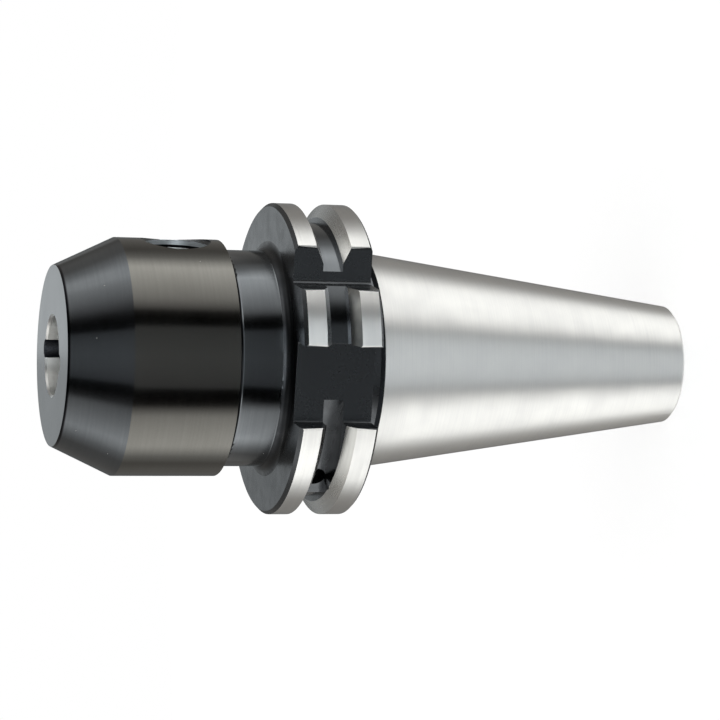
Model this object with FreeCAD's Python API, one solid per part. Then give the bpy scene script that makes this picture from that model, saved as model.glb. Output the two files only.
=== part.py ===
import FreeCAD, Part
import math
import os

# Side-lock endmill holder with a 7:24 tool shank, size 40, in millimetres.
# The axis of the holder is Z. The origin is the centre of the taper's small end,
# and +Z points to the nose. The clamping screw looks along +X, and the shallower
# of the two drive slots faces -Y.

# Taper shank
TAPER_GAUGE_D = 44.45       # taper diameter on the gauge line
TAPER_RATIO = 7.0 / 24.0    # change of diameter per length
TAPER_LENGTH = 68.4         # small end to gauge line
TAPER_END_BREAK = 0.6       # edge break at the small end

# Undercut between the taper and the flange
RELIEF_LENGTH = 3.2         # gauge line to the flange's rear face
RELIEF_DEPTH = 0.75
RELIEF_FILLET = 1.0

# Flange with the gripper groove
FLANGE_D = 63.55
FLANGE_WIDTH = 15.9
FLANGE_FRONT_CHAMFER = 0.7
FLANGE_REAR_CHAMFER = 0.5
GROOVE_FROM_GAUGE = 11.1    # gauge line to the middle of the groove
GROOVE_RIM_WIDTH = 7.07     # width of the V at the flange's rim
GROOVE_ANGLE = 60.0         # included angle of the V
GROOVE_ROOT_D = 56.0
GROOVE_ROOT_WIDTH = 4.0

# Drive slots across the flange, one on -Y and one on +Y
SLOT_WIDTH = 16.1
SLOT_FLOOR_MINUS_Y = 25.0   # axis to slot floor
SLOT_FLOOR_PLUS_Y = 22.8
SLOT_CORNER = 0.5           # fillet between floor and walls
EDGE_BREAK = 0.35           # break on the milled edges at the rim, along each face

# Orientation notch: a square corner cut between the -Y slot and the screw
NOTCH_FROM_AXIS = 18.5      # axis to each of its two walls
NOTCH_FILLET = 1.1

# Straight channel milled along a chord of the groove's floor, out of the -Y slot
CHANNEL_WIDTH = 4.0
CHANNEL_FLOOR = 23.4        # axis to channel floor
CHANNEL_ANGLE = 30.0        # from -Y towards -X, square to the floor
PORT_D = 4.2                # blind hole in the channel's floor
PORT_FROM_MIDDLE = 11.0     # middle of the channel to the hole
PORT_DEPTH = 7.0

# Neck and nose
NECK_D = 44.0
NECK_FILLET = 2.0           # neck into the flange's front face
NOSE_D = 48.0
NOSE_FROM_GAUGE = 63.0      # gauge line to the nose face
NOSE_LENGTH = 33.1          # nose face back to the rear shoulder
SHOULDER_FILLET = 1.3       # neck into the rear shoulder
NOSE_CONE_LENGTH = 12.1
NOSE_FACE_D = 36.4

# Tool bore in the nose
BORE_D = 16.0
BORE_DEPTH = 51.0
BORE_CHAMFER = 0.4
COOLANT_GROOVE_D = 3.7      # round grooves along the bore wall
COOLANT_HOLE_D = 8.0        # from the bore's floor to the pull-stud hole

# Pull-stud hole in the small end
PILOT_D = 17.0
PILOT_DEPTH = 7.0
PILOT_CHAMFER = 0.5
STUD_THREAD_D = 14.0        # M16, drawn at its minor diameter
STUD_THREAD_END = 32.0      # small end to the last thread
STUD_DRILL_D = 13.5
STUD_DRILL_END = 43.0       # small end to the end of the drilled hole
DRILL_POINT = 118.0         # included angle of the drill's point

# Clamping screw, M14, and its threaded hole
SCREW_FROM_FACE = 24.0      # nose face to screw axis
SCREW_THREAD_D = 13.0       # M14, drawn between its major and minor diameter
SCREW_CLEARANCE = 0.08      # radial, screw to hole
SCREW_SINK_D = 14.1         # mouth of the hole, ending in a 45 degree step
SCREW_SINK_DEPTH = 0.95     # crown of the nose to the foot of that step
SCREW_LENGTH = 13.6
SCREW_HEAD_CHAMFER = 1.1
SCREW_TIP_D = 10.0
SCREW_TIP_ANGLE = 45.0
SCREW_TIP_GAP = 0.1         # tip to bore wall when backed off
HEX_FLATS = 6.0
HEX_DEPTH = 7.0

# Levels along the axis
GAUGE_Z = TAPER_LENGTH
FLANGE_REAR_Z = GAUGE_Z + RELIEF_LENGTH
FLANGE_FRONT_Z = FLANGE_REAR_Z + FLANGE_WIDTH
GROOVE_Z = GAUGE_Z + GROOVE_FROM_GAUGE
NOSE_Z = GAUGE_Z + NOSE_FROM_GAUGE
SHOULDER_Z = NOSE_Z - NOSE_LENGTH
BORE_FLOOR_Z = NOSE_Z - BORE_DEPTH
SCREW_Z = NOSE_Z - SCREW_FROM_FACE

AXIS = FreeCAD.Vector(0, 0, 1)
BEYOND = FLANGE_D           # how far cutters reach past the rim


def loop(points, place):
    """Closed wire through (u, v, fillet radius) corners, each put in space by place."""
    corners = [(FreeCAD.Vector(u, v, 0), radius) for u, v, radius in points]
    spans = []
    for i, (corner, radius) in enumerate(corners):
        before = corners[i - 1][0]
        after = corners[(i + 1) % len(corners)][0]
        if radius <= 0:
            spans.append((corner, None, corner))
            continue
        back = (before - corner).normalize()
        ahead = (after - corner).normalize()
        half = back.getAngle(ahead) / 2
        middle = (back + ahead).normalize()
        centre = corner + middle * (radius / math.sin(half))
        reach = radius / math.tan(half)
        spans.append((corner + back * reach, centre - middle * radius, corner + ahead * reach))
    edges = []
    for i, (start, middle, end) in enumerate(spans):
        if middle is not None:
            edges.append(Part.Arc(place(start), place(middle), place(end)).toShape())
        following = spans[(i + 1) % len(spans)][0]
        edges.append(Part.LineSegment(place(end), place(following)).toShape())
    return Part.Wire(edges)


def turned(points):
    """Solid turned about Z from (radius, z, fillet radius) corners."""
    outline = loop(points, lambda p: FreeCAD.Vector(p.x, 0, p.y))
    return Part.Face(outline).revolve(FreeCAD.Vector(0, 0, 0), AXIS, 360)


def milled(points, low, high):
    """Prism along Z from (x, y, fillet radius) corners."""
    outline = loop(points, lambda p: FreeCAD.Vector(p.x, p.y, low))
    return Part.Face(outline).extrude(AXIS * (high - low))


def plain(points):
    """The same corners with no fillet."""
    return [(u, v, 0) for u, v in points]


def outer_form():
    """Taper, undercut, flange, neck and nose as one turned piece."""
    gauge_r = TAPER_GAUGE_D / 2
    small_r = gauge_r - TAPER_LENGTH * TAPER_RATIO / 2
    relief_r = gauge_r - RELIEF_DEPTH
    flange_r = FLANGE_D / 2
    shoulder = abs(NOSE_D - NECK_D) / 2
    fillet = min(SHOULDER_FILLET, 0.9 * shoulder)
    points = [
        (0, 0, 0),
        (small_r - TAPER_END_BREAK, 0, 0),
        (small_r + TAPER_END_BREAK * TAPER_RATIO / 2, TAPER_END_BREAK, 0),
        (gauge_r, GAUGE_Z, 0),
        (relief_r, GAUGE_Z + RELIEF_DEPTH, 0),
        (relief_r, FLANGE_REAR_Z, RELIEF_FILLET),
        (flange_r - FLANGE_REAR_CHAMFER, FLANGE_REAR_Z, 0),
        (flange_r, FLANGE_REAR_Z + FLANGE_REAR_CHAMFER, 0),
        (flange_r, FLANGE_FRONT_Z - FLANGE_FRONT_CHAMFER, 0),
        (flange_r - FLANGE_FRONT_CHAMFER, FLANGE_FRONT_Z, 0),
        (NECK_D / 2, FLANGE_FRONT_Z, NECK_FILLET),
        (NECK_D / 2, SHOULDER_Z, fillet),
        (NOSE_D / 2, SHOULDER_Z, 0),
        (NOSE_D / 2, NOSE_Z - NOSE_CONE_LENGTH, 0),
        (NOSE_FACE_D / 2, NOSE_Z, 0),
        (0, NOSE_Z, 0),
    ]
    return turned(points)


def gripper_groove():
    """Ring cutter: a V of the stated angle that ends in a narrow flat root."""
    slope = math.tan(math.radians(GROOVE_ANGLE / 2))
    rim_r = FLANGE_D / 2
    rim_half = GROOVE_RIM_WIDTH / 2
    root_half = GROOVE_ROOT_WIDTH / 2
    wall_r = rim_r - (rim_half - root_half) / slope
    over = FLANGE_FRONT_CHAMFER
    wide_half = rim_half + over * slope
    return turned(plain([
        (GROOVE_ROOT_D / 2, GROOVE_Z - root_half),
        (wall_r, GROOVE_Z - root_half),
        (rim_r + over, GROOVE_Z - wide_half),
        (rim_r + over, GROOVE_Z + wide_half),
        (wall_r, GROOVE_Z + root_half),
        (GROOVE_ROOT_D / 2, GROOVE_Z + root_half),
    ]))


def broken_rim(x, y, wall, away):
    """Corners that break the edge where a wall meets the rim at (x, y).

    wall points from the edge into the cut along the wall, and away points along
    the rim, away from the cut.
    """
    on_wall = (x + wall[0] * EDGE_BREAK, y + wall[1] * EDGE_BREAK, 0)
    on_rim = (x + away[0] * EDGE_BREAK, y + away[1] * EDGE_BREAK, 0)
    outside = tuple(2 * a - b for a, b in zip(on_rim, on_wall))
    return on_wall, outside


def drive_slot(floor, side):
    """Cutter for one drive slot; side is -1 for the slot on -Y and +1 for +Y."""
    half = SLOT_WIDTH / 2
    flange_r = FLANGE_D / 2
    rim = math.sqrt(flange_r ** 2 - half ** 2)
    away = (rim / flange_r, -side * half / flange_r)
    on_wall, outside = broken_rim(half, side * rim, (0, -side), away)
    points = [
        (-half, side * floor, SLOT_CORNER),
        (half, side * floor, SLOT_CORNER),
        on_wall,
        outside,
        (outside[0], side * BEYOND, 0),
        (-outside[0], side * BEYOND, 0),
        (-outside[0], outside[1], 0),
        (-on_wall[0], on_wall[1], 0),
    ]
    return milled(points, FLANGE_REAR_Z - RELIEF_LENGTH, FLANGE_FRONT_Z + NECK_FILLET)


def orientation_notch():
    """Cutter for the square corner notch between +X and -Y."""
    wall = NOTCH_FROM_AXIS
    flange_r = FLANGE_D / 2
    rim = math.sqrt(flange_r ** 2 - wall ** 2)
    on_wall, outside = broken_rim(wall, -rim, (0, 1), (-rim / flange_r, -wall / flange_r))
    points = [
        (wall, -wall, NOTCH_FILLET),
        on_wall,
        outside,
        (outside[0], -BEYOND, 0),
        (BEYOND, -BEYOND, 0),
        (BEYOND, -outside[0], 0),
        (-outside[1], -outside[0], 0),
        (-on_wall[1], -on_wall[0], 0),
    ]
    return milled(points, FLANGE_REAR_Z - RELIEF_LENGTH, FLANGE_FRONT_Z + NECK_FILLET)


def channel():
    """Cutter for the straight channel and the blind hole in its floor."""
    reach = BEYOND - CHANNEL_FLOOR
    start = FreeCAD.Vector(-SLOT_WIDTH, -CHANNEL_WIDTH / 2, CHANNEL_FLOOR)
    path = Part.makeBox(SLOT_WIDTH + reach, CHANNEL_WIDTH, reach, start)
    floor = FreeCAD.Vector(PORT_FROM_MIDDLE, 0, CHANNEL_FLOOR)
    port = Part.makeCylinder(PORT_D / 2, PORT_DEPTH + reach, floor - AXIS * PORT_DEPTH)
    point = PORT_D / 2 / math.tan(math.radians(DRILL_POINT / 2))
    tip = Part.makeCone(0, PORT_D / 2, point, floor - AXIS * (PORT_DEPTH + point))
    cutter = path.fuse(port).fuse(tip)
    angle = math.radians(CHANNEL_ANGLE)
    outward = FreeCAD.Vector(-math.sin(angle), -math.cos(angle), 0)
    along = FreeCAD.Vector(-math.cos(angle), math.sin(angle), 0)
    across = outward.cross(along)
    turn = FreeCAD.Matrix(along.x, across.x, outward.x, 0,
                          along.y, across.y, outward.y, 0,
                          along.z, across.z, outward.z, GROOVE_Z,
                          0, 0, 0, 1)
    return cutter.transformed(turn)


def tool_bore():
    """Cutter for the tool bore, its mouth and the two coolant grooves in its wall."""
    radius = BORE_D / 2
    bore = turned(plain([
        (0, BORE_FLOOR_Z),
        (radius, BORE_FLOOR_Z),
        (radius, NOSE_Z - BORE_CHAMFER),
        (radius + 2 * BORE_CHAMFER, NOSE_Z + BORE_CHAMFER),
        (0, NOSE_Z + BORE_CHAMFER),
    ]))
    for side in (-1, 1):
        foot = FreeCAD.Vector(0, side * radius, BORE_FLOOR_Z)
        bore = bore.fuse(Part.makeCylinder(COOLANT_GROOVE_D / 2, BORE_DEPTH + BORE_CHAMFER, foot))
    return bore


def stud_hole():
    """Cutter for pilot, thread and drilled end in the small end, and the coolant hole."""
    pilot_r = PILOT_D / 2
    drill_r = STUD_DRILL_D / 2
    coolant_r = COOLANT_HOLE_D / 2
    point = (drill_r - coolant_r) / math.tan(math.radians(DRILL_POINT / 2))
    return turned(plain([
        (0, -PILOT_CHAMFER),
        (pilot_r + 2 * PILOT_CHAMFER, -PILOT_CHAMFER),
        (pilot_r, PILOT_CHAMFER),
        (pilot_r, PILOT_DEPTH),
        (STUD_THREAD_D / 2, PILOT_DEPTH),
        (STUD_THREAD_D / 2, STUD_THREAD_END),
        (drill_r, STUD_THREAD_END),
        (drill_r, STUD_DRILL_END),
        (coolant_r, STUD_DRILL_END + point),
        (coolant_r, BORE_FLOOR_Z + BORE_CHAMFER),
        (0, BORE_FLOOR_Z + BORE_CHAMFER),
    ]))


def screw_hole():
    """Cutter for the clamping screw's hole, from the nose surface into the bore."""
    radius = SCREW_THREAD_D / 2
    sink_r = SCREW_SINK_D / 2
    crown = NOSE_D / 2
    step = sink_r - radius
    start = FreeCAD.Vector(0, 0, SCREW_Z)
    outward = FreeCAD.Vector(1, 0, 0)
    hole = Part.makeCylinder(radius, crown + BORE_D, start, outward)
    foot = FreeCAD.Vector(crown - SCREW_SINK_DEPTH, 0, SCREW_Z)
    sink = Part.makeCone(radius, sink_r, step, foot, outward)
    mouth = Part.makeCylinder(sink_r, crown, foot + outward * step, outward)
    return hole.fuse(sink).fuse(mouth)


def holder_body():
    """The one-piece steel holder."""
    body = outer_form()
    cutters = [
        gripper_groove(),
        drive_slot(SLOT_FLOOR_MINUS_Y, -1),
        drive_slot(SLOT_FLOOR_PLUS_Y, 1),
        orientation_notch(),
        channel(),
        tool_bore(),
        stud_hole(),
        screw_hole(),
    ]
    for cutter in cutters:
        body = body.cut(cutter)
    return body.removeSplitter()


def clamp_screw():
    """Headless clamping screw with a hexagon socket, backed off clear of the bore."""
    radius = SCREW_THREAD_D / 2 - SCREW_CLEARANCE
    tip_r = SCREW_TIP_D / 2
    tip = (radius - tip_r) / math.tan(math.radians(SCREW_TIP_ANGLE))
    shank = turned(plain([
        (0, 0),
        (tip_r, 0),
        (radius, tip),
        (radius, SCREW_LENGTH - SCREW_HEAD_CHAMFER),
        (radius - SCREW_HEAD_CHAMFER, SCREW_LENGTH),
        (0, SCREW_LENGTH),
    ]))
    corner_r = HEX_FLATS / 2 / math.cos(math.radians(30))
    corners = [math.radians(60 * i) for i in range(6)]
    hexagon = [(corner_r * math.cos(a), corner_r * math.sin(a)) for a in corners]
    socket = milled(plain(hexagon), SCREW_LENGTH - HEX_DEPTH, SCREW_LENGTH + HEX_DEPTH)
    point = HEX_FLATS / 2 / math.tan(math.radians(DRILL_POINT / 2))
    drilled = Part.makeCone(0, HEX_FLATS / 2, point, FreeCAD.Vector(0, 0, SCREW_LENGTH - HEX_DEPTH - point))
    screw = shank.cut(socket).cut(drilled)
    screw.rotate(FreeCAD.Vector(0, 0, 0), FreeCAD.Vector(0, 1, 0), 90)
    screw.translate(FreeCAD.Vector(BORE_D / 2 + SCREW_TIP_GAP, 0, SCREW_Z))
    return screw


NODES = {
    "holder_body": holder_body,
    "clamp_screw": clamp_screw,
}

os.makedirs("parts", exist_ok=True)
for name, build in NODES.items():
    shape = build()
    solid = shape.Solids[0] if len(shape.Solids) == 1 else shape
    print(name, "solids", len(shape.Solids), "valid", shape.isValid(), "volume", round(shape.Volume, 1))
    print("  box", shape.BoundBox)
    solid.exportStep(os.path.join("parts", name + ".step"))
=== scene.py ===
import math
import bpy
from mathutils import Matrix, Vector

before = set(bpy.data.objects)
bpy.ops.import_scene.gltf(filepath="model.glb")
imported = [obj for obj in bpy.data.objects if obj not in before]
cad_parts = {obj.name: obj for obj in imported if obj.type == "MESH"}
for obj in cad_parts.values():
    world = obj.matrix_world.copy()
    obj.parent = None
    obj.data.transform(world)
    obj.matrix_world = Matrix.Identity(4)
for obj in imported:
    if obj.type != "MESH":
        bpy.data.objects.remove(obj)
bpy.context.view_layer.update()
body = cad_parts["holder_body"]
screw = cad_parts["clamp_screw"]

# The levels and radii of part.py that the finishes and painted shade follow, in metres.
GAUGE_Z = 0.0684
GAUGE_R = 0.022225
TAPER_SLOPE = 7 / 48
FLANGE_REAR_Z = 0.0716
FLANGE_FRONT_Z = 0.0875
FLANGE_R = 0.031775
GROOVE_Z = 0.0795
GROOVE_R = 0.028
NECK_R = 0.022
NOSE_Z = 0.1314
NOSE_R = 0.024
NOSE_REAR_Z = NOSE_Z - 0.0331
CONE_Z = NOSE_Z - 0.0121
BORE_R = 0.008
BORE_FLOOR_Z = 0.0804
SCREW_Z = 0.1074

# How far the tests for a finish or a painted shade reach round those surfaces.
HAIR = 0.00006
TAPER_SKIN = 0.0012
SMALL_END_SKIN = 0.001
BORE_SKIN = 0.0007
MOUTH_CHAMFER = 0.0006
COOLANT_REACH = 0.0019
SCREW_HOLE_REACH = 0.0072
TAPPED_REACH = 0.0066
NOSE_SKIN = 0.0001
FLANGE_INNER_R = 0.0215
RIM_SKIN = 0.0002
CHANNEL_HALF_WIDTH = 0.0021
GROOVE_ROOT_SKIN = 0.0003
GROOVE_CORNER = 0.0006
TOOTH_FROM_X, TOOTH_TO_X = 0.008, 0.0187
NECK_FILLET = 0.0021
SHOULDER_FILLET = 0.0015
SCREW_TOP_X = 0.0205

# Camera: the photograph's, fitted to the outline and the flange's edges.
CAMERA_AZIMUTH = math.radians(10.35)
CAMERA_ELEVATION = math.radians(16.178)
CAMERA_ROLL = math.radians(0.795)
CAMERA_DISTANCE = 0.55042
FOCAL_PIXELS = 2668.5
IMAGE_PIXELS = 720
AIM_PIXEL = (354.73, 359.80)
SENSOR_WIDTH = 36


def add_camera():
    north = Vector((math.sin(CAMERA_AZIMUTH), -math.cos(CAMERA_AZIMUTH), 0))
    side = Vector((math.cos(CAMERA_AZIMUTH), math.sin(CAMERA_AZIMUTH), 0))
    axis = Vector((0, 0, 1))
    sin_e, cos_e = math.sin(CAMERA_ELEVATION), math.cos(CAMERA_ELEVATION)
    back = axis * sin_e + north * cos_e
    level = north * sin_e - axis * cos_e
    right = level * math.cos(CAMERA_ROLL) + side * math.sin(CAMERA_ROLL)
    up = side * math.cos(CAMERA_ROLL) - level * math.sin(CAMERA_ROLL)
    place = Vector((0, 0, GAUGE_Z)) + back * CAMERA_DISTANCE
    data = bpy.data.cameras.new("camera")
    data.sensor_width = SENSOR_WIDTH
    data.lens = FOCAL_PIXELS / IMAGE_PIXELS * SENSOR_WIDTH
    data.shift_x = 0.5 - AIM_PIXEL[0] / IMAGE_PIXELS
    data.shift_y = AIM_PIXEL[1] / IMAGE_PIXELS - 0.5
    data.clip_start = 0.01
    camera = bpy.data.objects.new("camera", data)
    camera.matrix_world = Matrix.Translation(place) @ Matrix((right, up, back)).transposed().to_4x4()
    bpy.context.scene.collection.objects.link(camera)
    bpy.context.scene.camera = camera


class Nodes:
    """Short way to write a node tree."""

    def __init__(self, tree):
        self.tree = tree
        tree.nodes.clear()

    def add(self, kind, inputs=(), **settings):
        node = self.tree.nodes.new(kind)
        for name, value in settings.items():
            setattr(node, name, value)
        for key, value in dict(inputs).items():
            if isinstance(value, bpy.types.NodeSocket):
                self.tree.links.new(value, node.inputs[key])
            else:
                node.inputs[key].default_value = value
        return node

    def math(self, operation, first, second):
        return self.add("ShaderNodeMath", {0: first, 1: second}, operation=operation).outputs[0]

    def mix(self, factor, first, second):
        return self.add("ShaderNodeMix", {0: factor, 6: first, 7: second}, data_type="RGBA").outputs[2]

    def spread(self, value, start, end, low=0.0, high=1.0):
        return self.add("ShaderNodeMapRange", {"Value": value, "From Min": start, "From Max": end,
                                               "To Min": low, "To Max": high}).outputs[0]

    def seen(self):
        """1 for the rays by which a view, a reflection or glass sees a background."""
        path = self.add("ShaderNodeLightPath")
        seen = self.math("MAXIMUM", path.outputs["Is Camera Ray"], path.outputs["Is Glossy Ray"])
        return self.math("MAXIMUM", seen, path.outputs["Is Transmission Ray"])


def new_material(name):
    material = bpy.data.materials.new(name)
    material.use_nodes = True
    return material, Nodes(material.node_tree)


STAIN_SCALE = 160.0
WEAR_RANGE = (0.75, 1.25)
ROUGHNESS_PARTS = (1.12, 0.9)
SPECK_SCALE, SPECK_SIZE, SPECK_SHARE = 420.0, 0.05, 0.06
SPECK_COLOUR = (0.6, 0.6, 0.58, 1)
# Painted shade: the near black that steel() blends in along one axis.
PAINTED_SHADE_BLACK = (0.01, 0.01, 0.012, 1)
BUMP_STRENGTH, BUMP_HEIGHT = 0.04, 0.00002


def steel(name, dark, light, roughness, anisotropy=0.0, streak=(60, 60, 5000), specks=False, shade=None):
    """Machined steel: fine streaks and soft stains in colour, gloss and height.

    shade is (axis, from, to): painted shade, black at the first place on that axis, plain at the second."""
    material, n = new_material(name)
    place = n.add("ShaderNodeTexCoord").outputs["Object"]
    stretch = n.add("ShaderNodeMapping", {"Vector": place, "Scale": streak}).outputs[0]
    lines = n.add("ShaderNodeTexNoise", {"Vector": stretch, "Scale": 1.0, "Detail": 3.0}).outputs[0]
    stains = n.add("ShaderNodeTexNoise", {"Vector": place, "Scale": STAIN_SCALE, "Detail": 4.0}).outputs[0]
    worn = n.math("ADD", lines, stains)
    colour = n.mix(n.spread(worn, *WEAR_RANGE), (*dark, 1), (*light, 1))
    gloss = n.spread(worn, *WEAR_RANGE, *(roughness * part for part in ROUGHNESS_PARTS))
    if specks:
        cells = n.add("ShaderNodeTexVoronoi", {"Vector": place, "Scale": SPECK_SCALE})
        near = n.math("LESS_THAN", cells.outputs["Distance"], SPECK_SIZE)
        pick = n.add("ShaderNodeSeparateColor", {"Color": cells.outputs["Color"]}).outputs[0]
        dust = n.math("MULTIPLY", near, n.math("GREATER_THAN", pick, 1 - SPECK_SHARE))
        colour = n.mix(dust, colour, SPECK_COLOUR)
        gloss = n.math("MAXIMUM", gloss, dust)
    # Painted shade: black at one end of a band along the axis, fading to the plain colour.
    if shade:
        axis, start, end = shade
        along = n.add("ShaderNodeSeparateXYZ", {"Vector": place}).outputs[axis]
        colour = n.mix(n.spread(along, start, end), PAINTED_SHADE_BLACK, colour)
    bump = n.add("ShaderNodeBump", {"Height": lines, "Strength": BUMP_STRENGTH, "Distance": BUMP_HEIGHT})
    around = n.add("ShaderNodeTangent", direction_type="RADIAL", axis="Z")
    shader = n.add("ShaderNodeBsdfPrincipled", {
        "Base Color": colour, "Metallic": 1.0, "Roughness": gloss,
        "Anisotropic": anisotropy, "Anisotropic Rotation": 0.25,
        "Normal": bump.outputs[0], "Tangent": around.outputs[0]})
    n.add("ShaderNodeOutputMaterial", {"Surface": shader.outputs[0]})
    return material


# The body's finishes and painted light and shade, in the order of its material slots.
OXIDE, GROUND, BORE, TURNED, MILLED, FLANK, COOLANT, TAPPED, EDGE, RIM, CORNER, CONE, TOOTH = range(13)


def body_finishes_and_painted_light():
    oxide_tones = (0.150, 0.161, 0.174), (0.171, 0.182, 0.195)
    fine_turning, all_ways = (30, 30, 2600), (400, 400, 400)
    return [
        steel("black_oxide", *oxide_tones, 0.15, 0.4, fine_turning, specks=True),
        steel("ground_steel", (0.86, 0.86, 0.86), (0.91, 0.91, 0.90), 0.42, 0.9),
        steel("honed_bore", (0.72, 0.72, 0.71), (0.86, 0.86, 0.84), 0.40, 0.3, (900, 900, 900)),
        steel("black_oxide_turned", (0.195, 0.19, 0.177), (0.212, 0.207, 0.194), 0.15, 0.4,
              fine_turning, specks=True),
        steel("black_milled", (0.10, 0.106, 0.114), (0.13, 0.136, 0.146), 0.26, 0.0, all_ways),
        steel("ground_flank", (0.75, 0.75, 0.74), (0.83, 0.83, 0.82), 0.28),
        # Coolant grooves: darker than the black oxide, partly their own black and partly painted shade.
        steel("black_broached_and_painted_shade", (0.03, 0.032, 0.04), (0.10, 0.105, 0.12), 0.40, 0.0, (5000, 5000, 2500)),
        # tapped_wall: its light colour is painted light on the hole's wall, and it turns black below 22.06
        # mm on X as painted shade.
        steel("tapped_wall", (0.52, 0.56, 0.60), (0.72, 0.76, 0.79), 0.45, 0.0, (7000, 60, 60),
              shade=("X", 0.02206, 0.02214)),
        # Rounded edges: lighter than the oxide, partly wear and partly painted highlight.
        steel("worn_edge_and_painted_highlight", (0.24, 0.25, 0.26), (0.40, 0.40, 0.40), 0.30, 0.0, (500, 500, 500)),
        steel("ground_rim", (0.95, 0.95, 0.95), (0.99, 0.99, 0.98), 0.42, 1.0),
        # Painted shade: near black for the fillets at the neck and shoulder, the channel and the groove's
        # inner corners.
        steel("painted_shade_corner", (0.028, 0.030, 0.033), (0.042, 0.044, 0.048), 0.30, 0.0, all_ways),
        # black_oxide_cone: black oxide, with a painted dark reflection, a black band along the cone's last
        # 0.35 to 0.6 mm before the nose face.
        steel("black_oxide_cone", *oxide_tones, 0.15, 0.4, fine_turning, specks=True,
              shade=("Z", NOSE_Z - 0.00035, NOSE_Z - 0.0006)),
        # Painted shade: a darker copy of the ground flank, for one patch of it.
        steel("painted_shade_flank", (0.24, 0.25, 0.26), (0.40, 0.40, 0.39), 0.30, 0.0, (300, 300, 300)),
    ]


def flange_finish_or_painted_shade(x, y, z, tilt, radius, outer):
    """The finish or painted shade of a face between the flange's two sides."""
    # Painted shade: near black on the channel's faces that face the nose.
    if abs(z - GROOVE_Z) < CHANNEL_HALF_WIDTH and radius < GROOVE_R - GROOVE_ROOT_SKIN and tilt > 0.9:
        return CORNER
    if outer > FLANGE_R - HAIR and radius > FLANGE_R - RIM_SKIN and abs(tilt) < 0.3:
        return RIM
    if 0.8 < abs(tilt) < 0.95 and radius > GROOVE_R + GROOVE_CORNER:
        # Painted shade: the flank facing the nose is darker at the tooth, on the camera's side (y below
        # 0).
        return TOOTH if tilt > 0 and y < 0 and TOOTH_FROM_X < x < TOOTH_TO_X else FLANK
    if abs(tilt) < 0.1 and radius > GROOVE_R - GROOVE_ROOT_SKIN and outer < GROOVE_R + HAIR:
        return OXIDE
    # Painted shade: near black in the groove's inner corner.
    if tilt > 0.95 and outer < GROOVE_R + GROOVE_CORNER:
        return CORNER
    return MILLED


def finish_or_painted_light_of(face):
    """Which of the body's finishes and painted light and shade a face of the CAD mesh has."""
    x, y, z = face.center
    tilt = face.normal.z
    radius = math.hypot(x, y)
    corners = [body.data.vertices[i].co for i in face.vertices]
    outer = max(math.hypot(*corner.xy) for corner in corners)
    in_bore = z > BORE_FLOOR_Z + HAIR and radius < BORE_R + BORE_SKIN
    taper_r = GAUGE_R - (GAUGE_Z - z) * TAPER_SLOPE
    if z < GAUGE_Z and outer > taper_r - TAPER_SKIN and -0.3 < tilt < 0.05:
        return GROUND
    if z < SMALL_END_SKIN and tilt < -0.5:
        return GROUND
    if GAUGE_Z - HAIR < z < FLANGE_REAR_Z + HAIR and radius > BORE_R:
        return MILLED
    beside_bore = math.hypot(x, abs(y) - BORE_R) < COOLANT_REACH and radius > BORE_R
    if z > BORE_FLOOR_Z + HAIR and beside_bore and abs(tilt) < 0.1:
        return COOLANT
    if z > NOSE_Z - MOUTH_CHAMFER and in_bore and 0.1 < abs(tilt) < 0.9:
        return RIM
    if in_bore and abs(tilt) < 0.9:
        return BORE
    in_screw_hole = x > BORE_R * 0.9 and math.hypot(y, z - SCREW_Z) < SCREW_HOLE_REACH
    if in_screw_hole and outer < NOSE_R + HAIR and abs(face.normal.x) < 0.8:
        reach = max(math.hypot(corner.y, corner.z - SCREW_Z) for corner in corners)
        return TAPPED if reach < TAPPED_REACH else MILLED
    if NOSE_REAR_Z < z < CONE_Z and outer > NOSE_R - NOSE_SKIN and abs(tilt) < 0.1:
        return TURNED
    if z > CONE_Z and 0.1 < tilt < 0.9:
        return CONE
    if FLANGE_REAR_Z < z < FLANGE_FRONT_Z and radius > FLANGE_INNER_R:
        return flange_finish_or_painted_shade(x, y, z, tilt, radius, outer)
    # Painted shade: the fillet in front of the flange and the one behind the nose are coloured near black.
    in_neck_fillet = FLANGE_FRONT_Z < z < FLANGE_FRONT_Z + NECK_FILLET
    in_shoulder_fillet = -SHOULDER_FILLET < z - NOSE_REAR_Z < HAIR
    if outer > NECK_R + HAIR and radius < NOSE_R - HAIR and (in_neck_fillet or in_shoulder_fillet):
        return CORNER
    return OXIDE


def dress(node, materials, finish):
    """Puts the materials in the node's slots, and one of them on each face."""
    node.data.materials.clear()
    for material in materials:
        node.data.materials.append(material)
    for face in node.data.polygons:
        face.material_index = finish(face)


def screw_finishes():
    return [
        steel("screw_black", (0.10, 0.105, 0.11), (0.14, 0.145, 0.15), 0.3, 0.0, (3000, 100, 100)),
        steel("screw_top", (0.85, 0.86, 0.86), (0.95, 0.95, 0.95), 0.4, 0.0, (100, 2500, 2500)),
    ]


SHARP_ANGLE = math.radians(20)
BREAK_ANGLE = math.radians(40)
EDGE_BREAK = 0.0001


def crisp_edges():
    """Node group that shades smooth, with every edge over the sharp angle kept sharp."""
    group = bpy.data.node_groups.new("crisp_edges", "GeometryNodeTree")
    group.interface.new_socket("Geometry", in_out="INPUT", socket_type="NodeSocketGeometry")
    group.interface.new_socket("Geometry", in_out="OUTPUT", socket_type="NodeSocketGeometry")
    n = Nodes(group)
    source = n.add("NodeGroupInput").outputs[0]
    angle = n.add("GeometryNodeInputMeshEdgeAngle").outputs["Unsigned Angle"]
    sharp = n.math("GREATER_THAN", angle, SHARP_ANGLE)
    shade = n.add("GeometryNodeSetMeshNormal", {"Mesh": source, "Remove Custom": True,
                                                "Edge Sharpness": sharp}, mode="SHARPNESS")
    n.add("NodeGroupOutput", {0: shade.outputs[0]})
    return group


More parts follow.
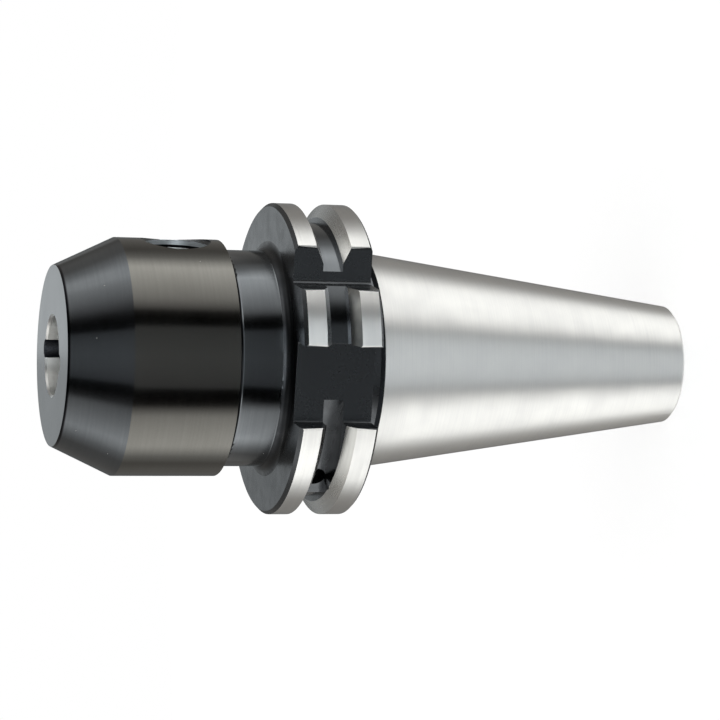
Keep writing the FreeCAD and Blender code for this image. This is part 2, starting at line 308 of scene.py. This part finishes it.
def break_edges(node, crisp):
    """Joins the CAD mesh's doubled points, shades it and rounds its edges by a hair."""
    node.modifiers.new("weld", "WELD").merge_threshold = 0.000001
    node.modifiers.new("crisp", "NODES").node_group = crisp
    bevel = node.modifiers.new("edges", "BEVEL")
    bevel.width = EDGE_BREAK
    bevel.segments = 2
    bevel.limit_method = "ANGLE"
    bevel.angle_limit = BREAK_ANGLE
    bevel.use_clamp_overlap = True
    bevel.harden_normals = True
    return bevel


FLOOR_R, FLOOR_SIDES = 0.5, 96
FLOOR_COLOUR = (0.9, 0.9, 0.9, 1)
FLOOR_LIFT = 0.5


def add_floor():
    mesh = bpy.data.meshes.new("floor")
    angles = [2 * math.pi * i / FLOOR_SIDES for i in range(FLOOR_SIDES)]
    mesh.from_pydata([(FLOOR_R * math.cos(a), FLOOR_R * math.sin(a), 0) for a in angles], [],
                     [range(FLOOR_SIDES)])
    floor = bpy.data.objects.new("floor", mesh)
    bpy.context.scene.collection.objects.link(floor)
    material, n = new_material("floor")
    diffuse = n.add("ShaderNodeBsdfDiffuse", {"Color": FLOOR_COLOUR})
    level = n.math("MULTIPLY", n.seen(), FLOOR_LIFT)
    glow = n.add("ShaderNodeEmission", {"Color": (1, 1, 1, 1), "Strength": level})
    both = n.add("ShaderNodeAddShader", {0: diffuse.outputs[0], 1: glow.outputs[0]})
    n.add("ShaderNodeOutputMaterial", {"Surface": both.outputs[0]})
    mesh.materials.append(material)
    floor.visible_glossy = False


# Softboxes and dark cards round the object, as (degrees from the camera's azimuth
# towards +X, brightness of each band from the bottom up): deep, low, knee, level,
# strip, high, upper. Over them is a dark ceiling with one lamp in its middle.
TENT = [
    (-180, 0.25, 0.35, 0.16, 0.12, 0.48, 0.20, 0.10), (-166, 0.25, 0.35, 0.16, 0.12, 0.38, 0.20, 0.12),
    (-150, 0.28, 0.40, 0.24, 0.18, 0.17, 0.18, 0.45), (-136, 0.32, 0.40, 0.30, 0.22, 0.20, 0.20, 1.50),
    (-122, 0.30, 0.32, 0.30, 0.19, 0.22, 0.20, 1.40), (-110, 0.36, 0.52, 0.62, 0.42, 0.45, 0.50, 0.80),
    (-94, 1.30, 1.35, 1.70, 1.20, 1.40, 0.78, 0.78), (-82, 1.70, 1.45, 1.45, 1.08, 1.70, 0.68, 0.68),
    (-70, 1.60, 1.45, 1.30, 0.90, 1.80, 0.52, 0.52), (-58, 1.60, 1.60, 1.05, 0.70, 1.80, 0.34, 0.34),
    (-51, 1.50, 1.65, 0.45, 0.28, 1.50, 0.05, 0.08), (-46, 1.05, 1.35, 0.10, 0.00, 0.80, 0.02, 0.02),
    (-41, 0.30, 0.40, 0.00, 0.00, 0.10, 0.00, 0.00), (-31, 0.30, 0.36, 0.00, 0.00, 0.10, 0.00, 0.00),
    (-28, 0.50, 0.46, 0.16, 0.11, 2.60, 0.12, 0.12), (-15, 0.50, 0.45, 0.18, 0.13, 2.80, 0.18, 0.18),
    (0, 0.50, 0.45, 0.20, 0.15, 2.80, 0.21, 0.21), (15, 0.50, 0.45, 0.18, 0.13, 2.80, 0.18, 0.18),
    (28, 0.50, 0.46, 0.16, 0.11, 2.60, 0.12, 0.12), (31, 0.30, 0.36, 0.00, 0.00, 0.10, 0.00, 0.00),
    (39, 0.30, 0.42, 0.00, 0.00, 0.10, 0.00, 0.00), (44, 0.95, 1.25, 0.12, 0.01, 1.20, 0.01, 0.01),
    (49, 1.25, 1.60, 0.45, 0.28, 1.80, 0.04, 0.04), (58, 1.40, 1.65, 0.80, 0.64, 2.00, 0.22, 0.22),
    (70, 1.40, 1.50, 1.10, 0.92, 1.90, 0.48, 0.48), (82, 1.50, 1.40, 1.45, 1.22, 1.70, 0.64, 0.64),
    (95, 1.20, 1.15, 1.80, 1.52, 1.40, 0.78, 0.78), (110, 0.36, 0.40, 0.55, 0.43, 0.60, 0.52, 0.52),
    (122, 0.24, 0.28, 0.24, 0.16, 0.28, 0.26, 0.70), (136, 0.26, 0.36, 0.28, 0.20, 0.24, 0.20, 0.80),
    (150, 0.28, 0.38, 0.26, 0.20, 0.12, 0.12, 0.25), (166, 0.25, 0.32, 0.18, 0.16, 0.45, 0.20, 0.10),
    (180, 0.25, 0.32, 0.16, 0.14, 0.76, 0.20, 0.10),
]
TENT_RADIUS = 0.9
# The lowest and highest level of each band.
TENT_BANDS = ((-1.90, -0.95), (-0.56, -0.48), (-0.34, -0.18), (-0.14, 0.08), (0.20, 0.45),
              (0.60, 0.92), (1.05, 1.50))
# The ceiling's rings, as radius, level and brightness.
CEILING = [(0.55, 1.80, 0.10), (0.19, 1.98, 0.10), (0.17, 1.99, 1.50), (0.01, 2.00, 1.50)]
COOL, WARM, WARMEST = (0.95, 1.0, 1.015), (1.0, 1.0, 0.97), (1.035, 1.0, 0.94)


def tint_of(degrees):
    """Cool cards in front and behind, warm softboxes at the sides."""
    turn = abs(degrees)
    if turn < 43 or turn > 160:
        return COOL
    return WARM if turn < 115 else WARMEST


def add_tent():
    """A ring of softboxes and cards that only reflections see."""
    points, tones = [], []
    for degrees, *bands in TENT:
        angle = CAMERA_AZIMUTH + math.radians(degrees)
        rings = [(TENT_RADIUS, height, tone) for ends, tone in zip(TENT_BANDS, bands) for height in ends]
        for radius, height, tone in rings + CEILING:
            points.append((math.sin(angle) * radius, -math.cos(angle) * radius, height))
            tones.extend((*(tone * part for part in tint_of(degrees)), 1.0))
    rows = len(points) // len(TENT)
    faces = [(c * rows + r, (c + 1) * rows + r, (c + 1) * rows + r + 1, c * rows + r + 1)
             for c in range(len(TENT) - 1) for r in range(rows - 1)]
    mesh = bpy.data.meshes.new("tent")
    mesh.from_pydata(points, [], faces)
    mesh.attributes.new("tone", "FLOAT_COLOR", "POINT").data.foreach_set("color", tones)
    material, n = new_material("tent")
    tone = n.add("ShaderNodeAttribute", attribute_name="tone")
    glow = n.add("ShaderNodeEmission", {"Color": tone.outputs["Color"], "Strength": 1.0})
    n.add("ShaderNodeOutputMaterial", {"Surface": glow.outputs[0]})
    mesh.materials.append(material)
    tent = bpy.data.objects.new("tent", mesh)
    bpy.context.scene.collection.objects.link(tent)
    tent.visible_camera = False
    tent.visible_diffuse = False
    tent.visible_shadow = False


SKY_LIGHT, SKY_SEEN = 0.6, 1.0


def add_world():
    """White where it is seen, and a plain grey where it lights the object."""
    world = bpy.data.worlds.new("world")
    bpy.context.scene.world = world
    world.use_nodes = True
    n = Nodes(world.node_tree)
    level = n.spread(n.seen(), 0.0, 1.0, SKY_LIGHT, SKY_SEEN)
    sky = n.add("ShaderNodeBackground", {"Color": (1, 1, 1, 1), "Strength": level})
    n.add("ShaderNodeOutputWorld", {"Surface": sky.outputs[0]})


add_camera()
dress(body, body_finishes_and_painted_light(), finish_or_painted_light_of)
dress(screw, screw_finishes(), lambda face: int(face.normal.x > 0.9 and face.center.x > SCREW_TOP_X))
crisp = crisp_edges()
# The rounded edges take the lighter edge colour: wear and painted highlight.
break_edges(body, crisp).material = EDGE
break_edges(screw, crisp)
add_floor()
add_world()
add_tent()

bpy.context.scene.view_settings.view_transform = "Standard"
